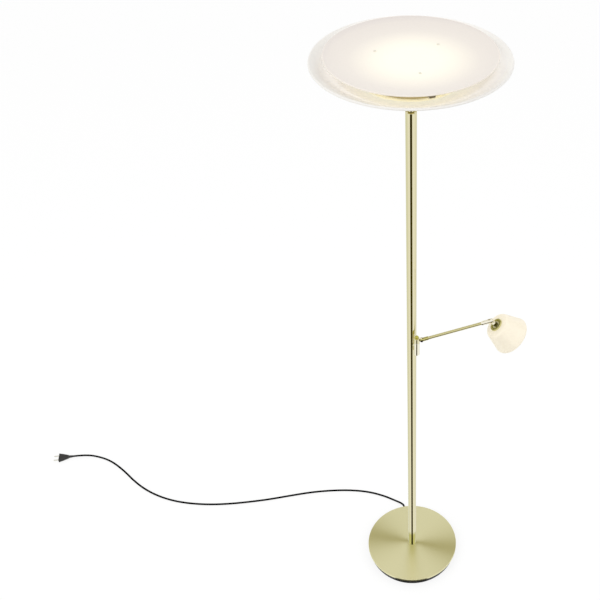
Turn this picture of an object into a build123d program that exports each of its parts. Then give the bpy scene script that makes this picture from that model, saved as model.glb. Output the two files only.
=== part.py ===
from build123d import *
import math
import os

# Floor lamp with an uplighter glass dish and a jointed reading light. All lengths are in millimetres.
# The origin is on the floor below the stem's axis, +Z is up, and the front of the lamp faces -Y.

os.makedirs("parts", exist_ok=True)

# Clearances that the pieces share
running_clearance = 0.05
seat_clearance = 0.05
loose_clearance = 0.3
cut_overrun = 1.0

# Base: a heavy round plinth under a turned brass cover
base_height = 31.0
cover_radius = 147.5
cover_wall = 1.5
cover_lip_height = 6.0
cover_chamfer = 0.8
plinth_radius = 142.0
pad_thickness = 2.0
pad_inset = 1.5
bottom_plate_thickness = 2.0
bottom_plate_inset = 1.0
plate_screw_radius = 2.0
plate_screw_head_radius = 4.0
plate_screw_length = 12.0
plate_screw_inset = 13.0
plate_screw_count = 4

# Pockets inside the plinth, and what lies in them
pocket_depth = 16.0
nut_recess_radius = 22.0
nut_recess_depth = 17.0
driver_length = 92.0
driver_width = 54.0
driver_height = 14.0
driver_corner = 2.5
driver_offset = 77.0
driver_margin = 3.0
driver_ear_length = 9.0
driver_ear_thickness = 2.0
driver_screw_radius = 1.5
driver_screw_head_radius = 2.8
driver_screw_head_height = 1.8
terminal_length = 18.0
terminal_width = 32.0
terminal_height = 12.0
terminal_centre_radius = 94.0
terminal_margin = 8.0
terminal_well_radius = 2.4
terminal_well_depth = 3.0
terminal_pitch = 9.5
channel_width = 13.0
link_channel_length = 42.0
link_channel_width = 30.0
link_channel_x = -46.0
link_channel_y = 66.0

# Mains lead where it enters the plinth
cord_diameter = 6.5
cord_exit_angle = 100.0
cord_exit_height = 9.5
relief_start = 124.0
relief_reach = 150.0
relief_flange_thickness = 3.0
relief_flange_width = 14.0
relief_flange_height = 13.0
relief_root_radius = 5.4
relief_tip_radius = 4.1
relief_groove_depth = 0.7
relief_groove_count = 4
relief_groove_share = 0.75
clamp_length = 8.0
clamp_width = 26.0
clamp_height = 10.0
clamp_screw_spacing = 17.0

# Stem and the stud that holds it down
stem_radius = 12.5
stem_wall = 1.5
stem_length = 1587.5
stem_edge = 0.4
stud_radius = 5.0
stud_bore_radius = 2.7
stud_engagement = 19.0
foot_insert_height = 25.0
stem_washer_radius = 15.0
stem_washer_thickness = 2.0
stem_nut_across_flats = 17.0
stem_nut_height = 6.0
cable_radius = 2.2
cable_bend_radius = 6.0

# Neck between the stem and the dish
neck_radius = 7.5
neck_wall = 1.5
neck_tail = 4.0
bush_height = 25.0
bush_recess = 3.0
set_screw_radius = 2.0
set_screw_socket_radius = 1.1
set_screw_socket_depth = 2.0

# Uplighter dish of slumped glass, with its hub and seals
dish_rise = 68.5
dish_radius = 206.8
dish_depth = 44.0
dish_corner_radius = 122.0
dish_bend_radius = 60.0
glass_thickness = 5.0
rim_round_share = 0.4
dish_hole_radius = 10.5
gasket_thickness = 1.0
gasket_radius = 29.0
hub_flange_radius = 30.0
hub_flange_thickness = 5.0
hub_flange_chamfer = 1.5
hub_boss_radius = 11.5
hub_socket_depth = 12.0
hub_spigot_radius = 8.0
hub_bore_radius = 5.0
hub_spigot_reach = 8.0
head_nut_across_flats = 22.0
head_nut_height = 5.0

# Light source in the dish, and the glass disc above it
led_plate_overhang = 3.1
led_plate_thickness = 2.0
led_plate_flare_width = 11.5
led_plate_flare_rise = 5.0
led_plate_flare_thickness = 1.5
led_board_thickness = 1.6
led_board_hole_radius = 16.0
board_ring_width = 4.5
board_ring_height = 3.0
chip_size = 3.0
chip_height = 0.8
chip_ring_shares = (0.315, 0.506, 0.697, 0.935)
chip_ring_counts = (8, 14, 20, 26)
connector_length = 12.0
connector_width = 4.5
connector_height = 3.0
connector_angle = -64.0
connector_gap = 0.5
connector_margin = 0.8
diffuser_inset = 29.8
diffuser_thickness = 3.0
diffuser_flat_radius = 105.0
diffuser_rise = 7.0
diffuser_edge = 1.2
diffuser_hole_radius = 2.0
standoff_circle_share = 0.857
standoff_radius = 3.5
standoff_height = 39.5
standoff_bore_depth = 12.0
standoff_first_angle = 43.5
standoff_count = 3
soft_washer_radius = 5.0
soft_washer_thickness = 1.0
diffuser_screw_radius = 1.5
diffuser_screw_head_radius = 2.75
diffuser_screw_head_height = 1.4
diffuser_screw_head_round = 0.5
diffuser_screw_reach = 10.0

# Side boss on the stem, and the upright swivel beside it
boss_height = 957.0
boss_angle = -57.0
boss_radius = 5.0
boss_screw_radius = 2.0
boss_nut_across_flats = 7.0
boss_nut_height = 3.2
boss_screw_gap = 0.5
barrel_offset = 24.5
barrel_radius = 7.5
barrel_above = 17.0
barrel_below = 24.0
barrel_recess_radius = 6.2
barrel_recess_depth = 6.0
shaft_radius = 4.0
shaft_bore_radius = 1.5
shaft_shoulder_depth = 4.0
shaft_thread_radius = 2.5
shaft_thread_length = 5.0
retainer_radius = 5.5
retainer_height = 4.0
swivel_washer_thickness = 0.6
swivel_head_height = 15.0
swivel_cap_radius = 5.0
swivel_cap_skirt = 2.6

# Tilting knuckle and the arm
arm_heading_angle = 5.0
arm_rise_angle = 16.3
knuckle_offset = 12.5
knuckle_drop = 7.2
knuckle_radius = 4.2
tongue_thickness = 4.0
fork_radius = 4.9
fork_slot_reach = 5.2
fork_seat = 9.0
fork_length = 18.0
tilt_screw_radius = 2.0
tilt_screw_head_radius = 3.1
tilt_screw_head_height = 1.4
tilt_socket_radius = 1.4
tilt_socket_depth = 0.9
rod_radius = 4.0
rod_bore_radius = 2.5
collar_radius = 6.0
collar_taper_length = 4.0
collar_taper = 1.2
collar_seat_depth = 12.0
collar_slot_relief = 1.3
arm_reach = 185.0
collar_tail = 25.4

# Reading light, measured along its own axis from the pivot at the arm's end
head_dip_angle = 45.0
head_eye_radius = 5.2
head_pin_radius = 1.5
head_pin_inset = 0.3
neck_cone_start = 7.0
neck_cone_radius = 2.5
neck_cone_length = 3.0
head_neck_radius = 6.0
head_neck_end = 19.0
nipple_radius = 4.0
nipple_bore_radius = 2.0
nipple_seat_depth = 7.0
nipple_reach = 11.0
cap_radius = 17.5
cap_rim_width = 2.6
cap_rim_rise = 0.4
cap_boss_radius = 9.5
cap_groove_depth = 1.6
cap_flange_thickness = 3.0
cap_spigot_radius = 7.7
cap_edge = 0.6
shade_back_radius = 34.5
shade_front_radius = 54.5
shade_length = 65.0
shade_wall = 3.0
shade_shoulder = 9.0
shade_corner = 8.5
shade_mouth_radius = 38.0
shade_mouth_edge = 1.0
lens_thickness = 2.0
lens_recess = 0.5
sink_radius = 16.0
sink_length = 20.0
sink_groove_count = 4
sink_groove_depth = 5.0
sink_groove_width = 2.0
sink_groove_share = 0.5
lamp_board_radius = 15.0
lamp_board_thickness = 1.6
lamp_chip_radius = 8.0
lamp_chip_height = 1.5

# Plug: a flat two-pin body, its flexible tail and its pins
plug_face_width = 35.3
plug_face_height = 13.7
plug_waist_width = 27.0
plug_waist_height = 12.6
plug_rear_width = 13.0
plug_rear_height = 10.0
plug_corner = 4.0
plug_waist_setback = 14.0
plug_body_length = 34.0
plug_tail_length = 14.0
plug_tail_radius = 5.0
plug_tail_end_radius = 4.0
plug_pin_radius = 2.0
plug_pin_length = 19.0
plug_pin_spacing = 18.6
plug_pin_root = 6.0
plug_pin_root_radius = 1.5
plug_floor_gap = 0.05

# Heights that follow from the sizes above
weight_bottom = pad_thickness + bottom_plate_thickness
weight_top = base_height - cover_wall
lip_bottom = base_height - cover_lip_height
stem_top = base_height + stem_length
stem_inner_radius = stem_radius - stem_wall
cable_height = weight_bottom + cable_radius + loose_clearance
stud_bottom = cable_height + cable_bend_radius
stem_washer_bottom = weight_bottom + nut_recess_depth - stem_washer_thickness
bush_top = stem_top - bush_recess
bush_bottom = bush_top - bush_height
dish_underside = stem_top + dish_rise
dish_floor = dish_underside + glass_thickness
wall_slope = math.atan2(dish_depth, dish_radius - dish_corner_radius)
inner_corner_radius = dish_corner_radius - glass_thickness * math.tan(wall_slope / 2)
inner_bend_radius = dish_bend_radius - glass_thickness
bend_start_radius = dish_corner_radius - dish_bend_radius * math.tan(wall_slope / 2)
diffuser_radius = dish_radius - diffuser_inset
hub_flange_top = dish_underside - gasket_thickness
hub_flange_bottom = hub_flange_top - hub_flange_thickness
led_plate_bottom = dish_floor + gasket_thickness
led_plate_radius = bend_start_radius + led_plate_overhang
led_plate_top = led_plate_bottom + led_plate_thickness
led_plate_flat_radius = led_plate_radius - led_plate_flare_width
connector_reach = led_plate_flat_radius - connector_margin
board_ring_radius = connector_reach - connector_width - connector_gap
led_board_radius = board_ring_radius - board_ring_width
standoff_circle_radius = led_board_radius * standoff_circle_share
diffuser_bottom = led_plate_top + standoff_height + soft_washer_thickness
diffuser_top = diffuser_bottom + diffuser_thickness
collar_start = arm_reach - collar_tail
barrel_top = boss_height + barrel_above
barrel_bottom = boss_height - barrel_below
swivel_head_bottom = barrel_top + swivel_washer_thickness + loose_clearance
swivel_head_top = swivel_head_bottom + swivel_head_height
cap_back = head_neck_end
cap_front = cap_back + cap_flange_thickness
shade_back = cap_front
shade_inside = shade_back + shade_wall
shade_front = shade_back + shade_length
sink_front = shade_inside + sink_length
cord_radius = cord_diameter / 2


def heading(angle):
    """The level direction at an angle from +X, seen from above."""
    return Vector(math.cos(math.radians(angle)), math.sin(math.radians(angle)), 0)


# Directions and places of the jointed reading arm
up = Vector(0, 0, 1)
boss_direction = heading(boss_angle)
barrel_axis = boss_direction * barrel_offset
arm_heading = heading(arm_heading_angle)
side = up.cross(arm_heading)
arm_direction = arm_heading * math.cos(math.radians(arm_rise_angle)) + up * math.sin(math.radians(arm_rise_angle))
head_direction = arm_heading * math.cos(math.radians(head_dip_angle)) - up * math.sin(math.radians(head_dip_angle))
tilt_pivot = barrel_axis + arm_heading * knuckle_offset + up * (swivel_head_top - knuckle_drop)
head_pivot = tilt_pivot + arm_direction * arm_reach

# Planes: an end plane looks along a part's axis, and a side plane holds the axis with its X along it
boss_end_on = Plane(origin=up * boss_height, x_dir=up, z_dir=boss_direction)
arm_end_on = Plane(origin=tilt_pivot, x_dir=side, z_dir=arm_direction)
arm_side_on = Plane(origin=tilt_pivot, x_dir=arm_direction, z_dir=-side)
swivel_side_on = Plane(origin=barrel_axis, x_dir=arm_heading, z_dir=-side)
head_end_on = Plane(origin=head_pivot, x_dir=side, z_dir=head_direction)
head_side_on = Plane(origin=head_pivot, x_dir=head_direction, z_dir=-side)
arm_axis = Axis(tilt_pivot, arm_direction)
head_axis = Axis(head_pivot, head_direction)

# Planes and places of the mains lead, whose own direction leads straight out of the plinth
exit_direction = heading(cord_exit_angle)
exit_across = up.cross(exit_direction)
exit_end_on = Plane(origin=up * cord_exit_height, x_dir=exit_across, z_dir=exit_direction)
exit_side_on = Plane(origin=up * cord_exit_height, x_dir=exit_direction, z_dir=-exit_across)
terminal_inner = terminal_centre_radius - terminal_length / 2
terminal_outer = terminal_centre_radius + terminal_length / 2

# The lead's route over the floor, from the strain relief to the plug
cord_start = exit_direction * relief_reach + up * cord_exit_height
plug_height = plug_face_height / 2 + plug_floor_gap
cord_route = [
    cord_start,
    (-28.9, 163.9, 9.5),
    (-38.0, 176.5, 6.1),
    (-62.0, 191.0, 3.5),
    (-104.0, 212.0, 3.3),
    (-158.0, 229.0, 3.3),
    (-222.0, 236.0, 3.3),
    (-290.0, 234.5, 3.3),
    (-360.0, 227.0, 3.3),
    (-434.0, 212.0, 3.3),
    (-508.0, 195.5, 3.3),
    (-580.0, 184.0, 3.3),
    (-650.0, 175.5, 3.3),
    (-722.0, 172.5, 3.3),
    (-790.0, 177.5, 3.3),
    (-850.0, 189.0, 3.3),
    (-908.0, 210.0, 3.3),
    (-962.0, 240.0, 3.3),
    (-1010.0, 278.0, 3.3),
    (-1056.0, 323.5, 3.3),
    (-1112.0, 368.0, 3.3),
    (-1163.0, 389.5, 3.5),
    (-1215.0, 396.5, plug_height),
    (-1262.0, 389.0, plug_height),
]


def rod_on(plane, radius, length):
    """Adds a plain round rod or disc that stands on a plane."""
    with BuildSketch(plane) as outline:
        Circle(radius)
    extrude(outline.sketch, amount=length)


def bore_on(plane, radius, length):
    """Cuts a round bore that starts at a plane and runs along its normal."""
    with BuildSketch(plane) as outline:
        Circle(radius)
    extrude(outline.sketch, amount=length, mode=Mode.SUBTRACT)


def ring_on(plane, outer_radius, inner_radius, length):
    """Adds a tube, washer or ring that stands on a plane."""
    with BuildSketch(plane) as outline:
        Circle(outer_radius)
        Circle(inner_radius, mode=Mode.SUBTRACT)
    extrude(outline.sketch, amount=length)


def nut_on(plane, across_flats, inner_radius, length):
    """Adds a hexagon nut that stands on a plane."""
    with BuildSketch(plane) as outline:
        RegularPolygon(across_flats / 2, side_count=6, major_radius=False)
        Circle(inner_radius, mode=Mode.SUBTRACT)
    extrude(outline.sketch, amount=length)


def turn_about(axis, plane, *points, mode=Mode.ADD):
    """Adds or cuts a body turned about an axis from a closed outline of straight lines."""
    with BuildSketch(plane) as outline:
        with BuildLine():
            Polyline(*points, close=True)
        make_face()
    revolve(outline.sketch, axis=axis, mode=mode)


def corner_radii(points):
    """For each corner of a route, 0.45 of its shorter run over the tangent of half its turn."""
    radii = []
    for before, corner, after in zip(points, points[1:], points[2:]):
        run_in = Vector(*corner) - Vector(*before)
        run_out = Vector(*after) - Vector(*corner)
        half_turn = math.radians(run_in.get_angle(run_out)) / 2
        radii.append(0.45 * min(run_in.length, run_out.length) / math.tan(half_turn))
    return radii


# Soft pad that the lamp stands on
with BuildPart() as floor_pad:
    rod_on(Plane.XY, plinth_radius - pad_inset, pad_thickness)
floor_pad.part.label = "floor_pad"
export_step(floor_pad.part, "parts/floor_pad.step")

# Steel plate that closes the plinth from below, worked from its lower face
plate_underside = Plane(origin=up * pad_thickness, x_dir=(1, 0, 0), z_dir=(0, 0, -1))
plate_screw_circle = plinth_radius - plate_screw_inset
driver_screw_y = (driver_length - driver_ear_length) / 2
clamp_middle = (terminal_outer + relief_start) / 2
clamp_screw_x = clamp_screw_spacing / 2
with BuildPart(plate_underside) as base_bottom_plate:
    with BuildSketch(plate_underside):
        Circle(plinth_radius - bottom_plate_inset)
    extrude(amount=-bottom_plate_thickness)
    with PolarLocations(plate_screw_circle, plate_screw_count, start_angle=45):
        CounterSinkHole(
            plate_screw_radius + seat_clearance,
            plate_screw_head_radius + seat_clearance,
            bottom_plate_thickness,
            90,
        )
    with BuildSketch(Plane.XY.offset(pad_thickness)):
        with Locations((-driver_offset, -driver_screw_y), (-driver_offset, driver_screw_y)):
            Circle(driver_screw_radius + seat_clearance)
        with Locations(
            exit_direction * clamp_middle + exit_across * clamp_screw_x,
            exit_direction * clamp_middle - exit_across * clamp_screw_x,
        ):
            Circle(driver_screw_radius + seat_clearance)
    extrude(amount=bottom_plate_thickness, mode=Mode.SUBTRACT)
base_bottom_plate.part.label = "base_bottom_plate"
export_step(base_bottom_plate.part, "parts/base_bottom_plate.step")

# Countersunk screws of the bottom plate
plate_screw_taper = plate_screw_head_radius - plate_screw_radius
with BuildPart() as base_plate_screws:
    with PolarLocations(plate_screw_circle, plate_screw_count, start_angle=45):
        with Locations((0, 0, pad_thickness)):
            Cone(
                plate_screw_head_radius,
                plate_screw_radius,
                plate_screw_taper,
                align=(Align.CENTER, Align.CENTER, Align.MIN),
            )
            Cylinder(
                plate_screw_radius,
                plate_screw_length,
                align=(Align.CENTER, Align.CENTER, Align.MIN),
            )
base_plate_screws.part.label = "base_plate_screws"
export_step(base_plate_screws.part, "parts/base_plate_screws.step")

# Cast weight of the plinth, pocketed from below
weight_underside = Plane.XY.offset(weight_bottom)
slot_outer = plinth_radius + cut_overrun
slot_inner = terminal_outer
with BuildPart() as base_weight:
    rod_on(weight_underside, plinth_radius, lip_bottom - weight_bottom)
    rod_on(
        Plane.XY.offset(lip_bottom),
        cover_radius - cover_wall - loose_clearance,
        weight_top - lip_bottom,
    )
    with BuildSketch(weight_underside):
        with Locations((-driver_offset, 0)):
            Rectangle(driver_width + 2 * driver_margin, driver_length + 2 * driver_margin)
        with PolarLocations(terminal_centre_radius, 1, start_angle=cord_exit_angle):
            Rectangle(terminal_length + 2 * terminal_margin, terminal_width + 2 * terminal_margin)
        with PolarLocations(terminal_centre_radius / 2, 1, start_angle=cord_exit_angle):
            Rectangle(terminal_centre_radius, channel_width)
        with Locations((link_channel_x, link_channel_y)):
            Rectangle(link_channel_width, link_channel_length)
    extrude(amount=pocket_depth, mode=Mode.SUBTRACT)
    with BuildSketch(weight_underside):
        with PolarLocations(clamp_middle, 1, start_angle=cord_exit_angle):
            Rectangle(
                clamp_length + 2 * terminal_margin, clamp_width + 2 * loose_clearance
            )
    extrude(amount=pocket_depth, mode=Mode.SUBTRACT)
    with BuildSketch(weight_underside):
        with PolarLocations((slot_inner + slot_outer) / 2, 1, start_angle=cord_exit_angle):
            Rectangle(slot_outer - slot_inner, relief_flange_width + 2 * loose_clearance)
    extrude(amount=relief_flange_height + loose_clearance, mode=Mode.SUBTRACT)
    bore_on(weight_underside, nut_recess_radius, nut_recess_depth)
    bore_on(weight_underside, stud_radius + seat_clearance, base_height)
    with BuildSketch(weight_underside):
        with PolarLocations(plate_screw_circle, plate_screw_count, start_angle=45):
            Circle(plate_screw_radius + seat_clearance)
    extrude(amount=plate_screw_length, mode=Mode.SUBTRACT)
base_weight.part.label = "base_weight"
export_step(base_weight.part, "parts/base_weight.step")

# Turned brass cover with its short lip
with BuildPart() as base_cover:
    turn_about(
        Axis.Z,
        Plane.XZ,
        (stud_radius + seat_clearance, weight_top),
        (stud_radius + seat_clearance, base_height),
        (cover_radius - cover_chamfer, base_height),
        (cover_radius, base_height - cover_chamfer),
        (cover_radius, lip_bottom),
        (cover_radius - cover_wall, lip_bottom),
        (cover_radius - cover_wall, weight_top),
    )
base_cover.part.label = "base_cover"
export_step(base_cover.part, "parts/base_cover.step")

# Driver of the light sources, with an ear and a screw at each end
with BuildPart() as led_driver:
    with BuildSketch(weight_underside):
        with Locations((-driver_offset, 0)):
            Rectangle(driver_width, driver_length - 2 * driver_ear_length)
    extrude(amount=driver_height)
    fillet(led_driver.edges().filter_by(Axis.Z), driver_corner)
    with BuildSketch(weight_underside):
        with Locations((-driver_offset, 0)):
            Rectangle(driver_width / 2, driver_length)
    extrude(amount=driver_ear_thickness)
    with BuildSketch(weight_underside):
        with Locations((-driver_offset, -driver_screw_y), (-driver_offset, driver_screw_y)):
            Circle(driver_screw_radius + seat_clearance)
    extrude(amount=driver_ear_thickness, mode=Mode.SUBTRACT)
led_driver.part.label = "led_driver"
export_step(led_driver.part, "parts/led_driver.step")


def pan_screws(places, seat_height):
    """Adds pan-head screws from the bottom plate's lower face to a seat, with their heads above it."""
    with BuildSketch(Plane.XY.offset(pad_thickness)) as shanks:
        with Locations(*places):
            Circle(driver_screw_radius)
    extrude(shanks.sketch, amount=seat_height - pad_thickness)
    with BuildSketch(Plane.XY.offset(seat_height)) as heads:
        with Locations(*places):
            Circle(driver_screw_head_radius)
    extrude(heads.sketch, amount=driver_screw_head_height)


# Pan-head screws of the driver and of the lead's clamp
with BuildPart() as inner_screws:
    pan_screws(
        [(-driver_offset, -driver_screw_y), (-driver_offset, driver_screw_y)],
        weight_bottom + driver_ear_thickness,
    )
    pan_screws(
        [
            exit_direction * clamp_middle + exit_across * clamp_screw_x,
            exit_direction * clamp_middle - exit_across * clamp_screw_x,
        ],
        weight_bottom + clamp_height,
    )
inner_screws.part.label = "inner_screws"
export_step(inner_screws.part, "parts/inner_screws.step")

# Terminal block, with its screw wells
with BuildPart() as terminal_block:
    with BuildSketch(weight_underside):
        with PolarLocations(terminal_centre_radius, 1, start_angle=cord_exit_angle):
            Rectangle(terminal_length, terminal_width)
    extrude(amount=terminal_height)
    with BuildSketch(Plane.XY.offset(weight_bottom + terminal_height)):
        with Locations(
            exit_direction * terminal_centre_radius - exit_across * terminal_pitch,
            exit_direction * terminal_centre_radius,
            exit_direction * terminal_centre_radius + exit_across * terminal_pitch,
        ):
            Circle(terminal_well_radius)
    extrude(amount=-terminal_well_depth, mode=Mode.SUBTRACT)
terminal_block.part.label = "terminal_block"
export_step(terminal_block.part, "parts/terminal_block.step")

# Mains lead inside the plinth, from the strain relief to the terminal block
with BuildPart() as inlet_lead:
    rod_on(exit_end_on.offset(terminal_outer), cord_radius, relief_start - terminal_outer)
inlet_lead.part.label = "inlet_lead"
export_step(inlet_lead.part, "parts/inlet_lead.step")

# Clamp that grips the lead against the bottom plate
with BuildPart() as cord_clamp:
    with BuildSketch(weight_underside):
        with PolarLocations(clamp_middle, 1, start_angle=cord_exit_angle):
            Rectangle(clamp_length, clamp_width)
    extrude(amount=clamp_height)
    bore_on(
        exit_end_on.offset(clamp_middle - clamp_length),
        cord_radius + seat_clearance,
        2 * clamp_length,
    )
    with BuildSketch(weight_underside):
        with Locations(
            exit_direction * clamp_middle + exit_across * clamp_screw_x,
            exit_direction * clamp_middle - exit_across * clamp_screw_x,
        ):
            Circle(driver_screw_radius + seat_clearance)
    extrude(amount=clamp_height, mode=Mode.SUBTRACT)
cord_clamp.part.label = "cord_clamp"
export_step(cord_clamp.part, "parts/cord_clamp.step")

# Tapered strain relief: a flange in the plinth's slot, and a grooved cone
relief_cone_start = relief_start + relief_flange_thickness
relief_cone_length = relief_reach - relief_cone_start
relief_pitch = relief_cone_length / (relief_groove_count + 1)
with BuildPart() as strain_relief:
    with BuildSketch(weight_underside):
        with PolarLocations(
            relief_start + relief_flange_thickness / 2, 1, start_angle=cord_exit_angle
        ):
            Rectangle(relief_flange_thickness, relief_flange_width)
    extrude(amount=relief_flange_height)
    turn_about(
        Axis(up * cord_exit_height, exit_direction),
        exit_side_on,
        (relief_cone_start, 0),
        (relief_cone_start, relief_root_radius),
        (relief_reach, relief_tip_radius),
        (relief_reach, 0),
    )
    for groove in range(relief_groove_count):
        groove_place = relief_cone_start + relief_pitch * (groove + relief_groove_share)
        ring_width = relief_pitch / 2
        groove_share = (groove + 1) / (relief_groove_count + 1)
        cone_radius = relief_root_radius + (relief_tip_radius - relief_root_radius) * groove_share
        turn_about(
            Axis(up * cord_exit_height, exit_direction),
            exit_side_on,
            (groove_place, cone_radius - relief_groove_depth),
            (groove_place, relief_root_radius + cut_overrun),
            (groove_place + ring_width, relief_root_radius + cut_overrun),
            (groove_place + ring_width, cone_radius - relief_groove_depth),
            mode=Mode.SUBTRACT,
        )
strain_relief.part.label = "strain_relief"
export_step(strain_relief.part, "parts/strain_relief.step")

# Free mains lead on the floor: straight runs joined by large tangent arcs
cord_radii = corner_radii(cord_route)
with BuildPart() as cord:
    with BuildLine() as cord_path:
        FilletPolyline(*cord_route, radius=cord_radii)
    with BuildSketch(Plane(origin=cord_route[0], z_dir=cord_path.line % 0)):
        Circle(cord_radius)
    sweep()
cord.part.label = "cord"
export_step(cord.part, "parts/cord.step")
cord_section = math.pi * cord_radius**2
cord_length = sum(edge.length for edge in cord_path.edges())
print("cord length", round(cord_length, 1))
print("cord radii", [round(radius, 1) for radius in cord_radii])
print("cord volume over section times length", cord.part.volume / (cord_section * cord_length))

# Moulded plug body at the lead's far end, lying flat on the floor
plug_direction = (Vector(*cord_route[-1]) - Vector(*cord_route[-2])).normalized()
plug_end_on = Plane(
    origin=cord_route[-1], x_dir=up.cross(plug_direction), z_dir=plug_direction
)
plug_side_on = Plane(
    origin=cord_route[-1], x_dir=plug_direction, z_dir=plug_direction.cross(up)
)
plug_face_distance = plug_tail_length + plug_body_length
with BuildPart() as plug_body:
    with BuildSketch(plug_end_on.offset(plug_tail_length)):
        RectangleRounded(plug_rear_width, plug_rear_height, plug_corner)
    with BuildSketch(plug_end_on.offset(plug_face_distance - plug_waist_setback)):
        RectangleRounded(plug_waist_width, plug_waist_height, plug_corner)
    with BuildSketch(plug_end_on.offset(plug_face_distance)):
        RectangleRounded(plug_face_width, plug_face_height, plug_corner)
    loft(ruled=True)
    turn_about(
        Axis(cord_route[-1], plug_direction),
        plug_side_on,
        (0, 0),
        (0, plug_tail_end_radius),
        (plug_tail_length, plug_tail_radius),
        (plug_tail_length, 0),
    )
    for pin_side in (-1, 1):
        with BuildSketch(plug_end_on.offset(plug_face_distance)):
            with Locations((pin_side * plug_pin_spacing / 2, 0)):
                Circle(plug_pin_root_radius + seat_clearance)
        extrude(amount=-plug_pin_root, mode=Mode.SUBTRACT)
plug_body.part.label = "plug_body"
export_step(plug_body.part, "parts/plug_body.step")

# Pins of the plug, each with a thinner root inside the body
with BuildPart() as plug_pins:
    with BuildSketch(plug_end_on.offset(plug_face_distance)):
        with GridLocations(plug_pin_spacing, 0, 2, 1):
            Circle(plug_pin_radius)
    extrude(amount=plug_pin_length)
    with BuildSketch(plug_end_on.offset(plug_face_distance)):
        with GridLocations(plug_pin_spacing, 0, 2, 1):
            Circle(plug_pin_root_radius)
    extrude(amount=-plug_pin_root)
    fillet(
        plug_pins.faces().sort_by(Axis(cord_route[-1], plug_direction))[-2:].edges(),
        plug_pin_radius / 2,
    )
plug_pins.part.label = "plug_pins"
export_step(plug_pins.part, "parts/plug_pins.step")

# Hollow stud that pulls the stem down on the plinth
with BuildPart() as stem_stud:
    ring_on(
        Plane.XY.offset(stud_bottom),
        stud_radius,
        stud_bore_radius,
        base_height + stud_engagement - stud_bottom,
    )
stem_stud.part.label = "stem_stud"
export_step(stem_stud.part, "parts/stem_stud.step")

# Washer and nut of the stud, in the recess under the plinth
with BuildPart() as stem_washer:
    ring_on(
        Plane.XY.offset(stem_washer_bottom),
        stem_washer_radius,
        stud_radius + seat_clearance,
        stem_washer_thickness,
    )
stem_washer.part.label = "stem_washer"
export_step(stem_washer.part, "parts/stem_washer.step")

with BuildPart() as stem_nut:
    nut_on(
        Plane.XY.offset(stem_washer_bottom - stem_nut_height),
        stem_nut_across_flats,
        stud_radius + seat_clearance,
        stem_nut_height,
    )
stem_nut.part.label = "stem_nut"
export_step(stem_nut.part, "parts/stem_nut.step")

# Threaded insert in the foot of the stem
with BuildPart() as stem_foot_insert:
    ring_on(
        Plane.XY.offset(base_height),
        stem_inner_radius - seat_clearance,
        stud_radius + seat_clearance,
        foot_insert_height,
    )
stem_foot_insert.part.label = "stem_foot_insert"
export_step(stem_foot_insert.part, "parts/stem_foot_insert.step")

# Polished stem tube, drilled for the side boss and for the neck's set screw
set_screw_height = bush_top - bush_height / 2
set_screw_end_on = Plane(origin=up * set_screw_height, x_dir=(1, 0, 0), z_dir=(0, 1, 0))
with BuildPart() as stem_tube:
    ring_on(Plane.XY.offset(base_height), stem_radius, stem_inner_radius, stem_length)
    chamfer(stem_tube.edges().filter_by(GeomType.CIRCLE).group_by(Axis.Z)[-1], stem_edge)
    bore_on(boss_end_on, boss_screw_radius + seat_clearance, barrel_offset)
    bore_on(set_screw_end_on, set_screw_radius + seat_clearance, barrel_offset)
stem_tube.part.label = "stem_tube"
export_step(stem_tube.part, "parts/stem_tube.step")

# Supply cable from the terminal block to the light source, up through the stem
cable_start = exit_direction * terminal_inner + up * cable_height
with BuildPart() as stem_cable:
    with BuildLine() as cable_path:
        FilletPolyline(
            cable_start,
            up * cable_height,
            up * (led_plate_top + hub_spigot_reach),
            radius=cable_bend_radius,
        )
    with BuildSketch(Plane(origin=cable_start, z_dir=cable_path.line % 0)):
        Circle(cable_radius)
    sweep()
stem_cable.part.label = "stem_cable"
export_step(stem_cable.part, "parts/stem_cable.step")

# Bush that closes the stem a little below its rim and holds the neck
with BuildPart() as stem_top_bush:
    ring_on(
        Plane.XY.offset(bush_bottom),
        stem_inner_radius - seat_clearance,
        neck_radius + seat_clearance,
        bush_height,
    )
    bore_on(set_screw_end_on, set_screw_radius + seat_clearance, barrel_offset)
stem_top_bush.part.label = "stem_top_bush"
export_step(stem_top_bush.part, "parts/stem_top_bush.step")

# Set screw that pins the neck in the bush, from the back of the stem
set_screw_tip = neck_radius + seat_clearance
with BuildPart() as neck_set_screw:
    rod_on(set_screw_end_on.offset(set_screw_tip), set_screw_radius, stem_radius - set_screw_tip)
    bore_on(
        set_screw_end_on.offset(stem_radius - set_screw_socket_depth),
        set_screw_socket_radius,
        set_screw_socket_depth,
    )
neck_set_screw.part.label = "neck_set_screw"
export_step(neck_set_screw.part, "parts/neck_set_screw.step")

# Slim neck tube between the stem and the hub
neck_bottom = bush_bottom - neck_tail
with BuildPart() as neck_tube:
    ring_on(
        Plane.XY.offset(neck_bottom),
        neck_radius,
        neck_radius - neck_wall,
        hub_flange_bottom - neck_bottom,
    )
neck_tube.part.label = "neck_tube"
export_step(neck_tube.part, "parts/neck_tube.step")

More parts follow.
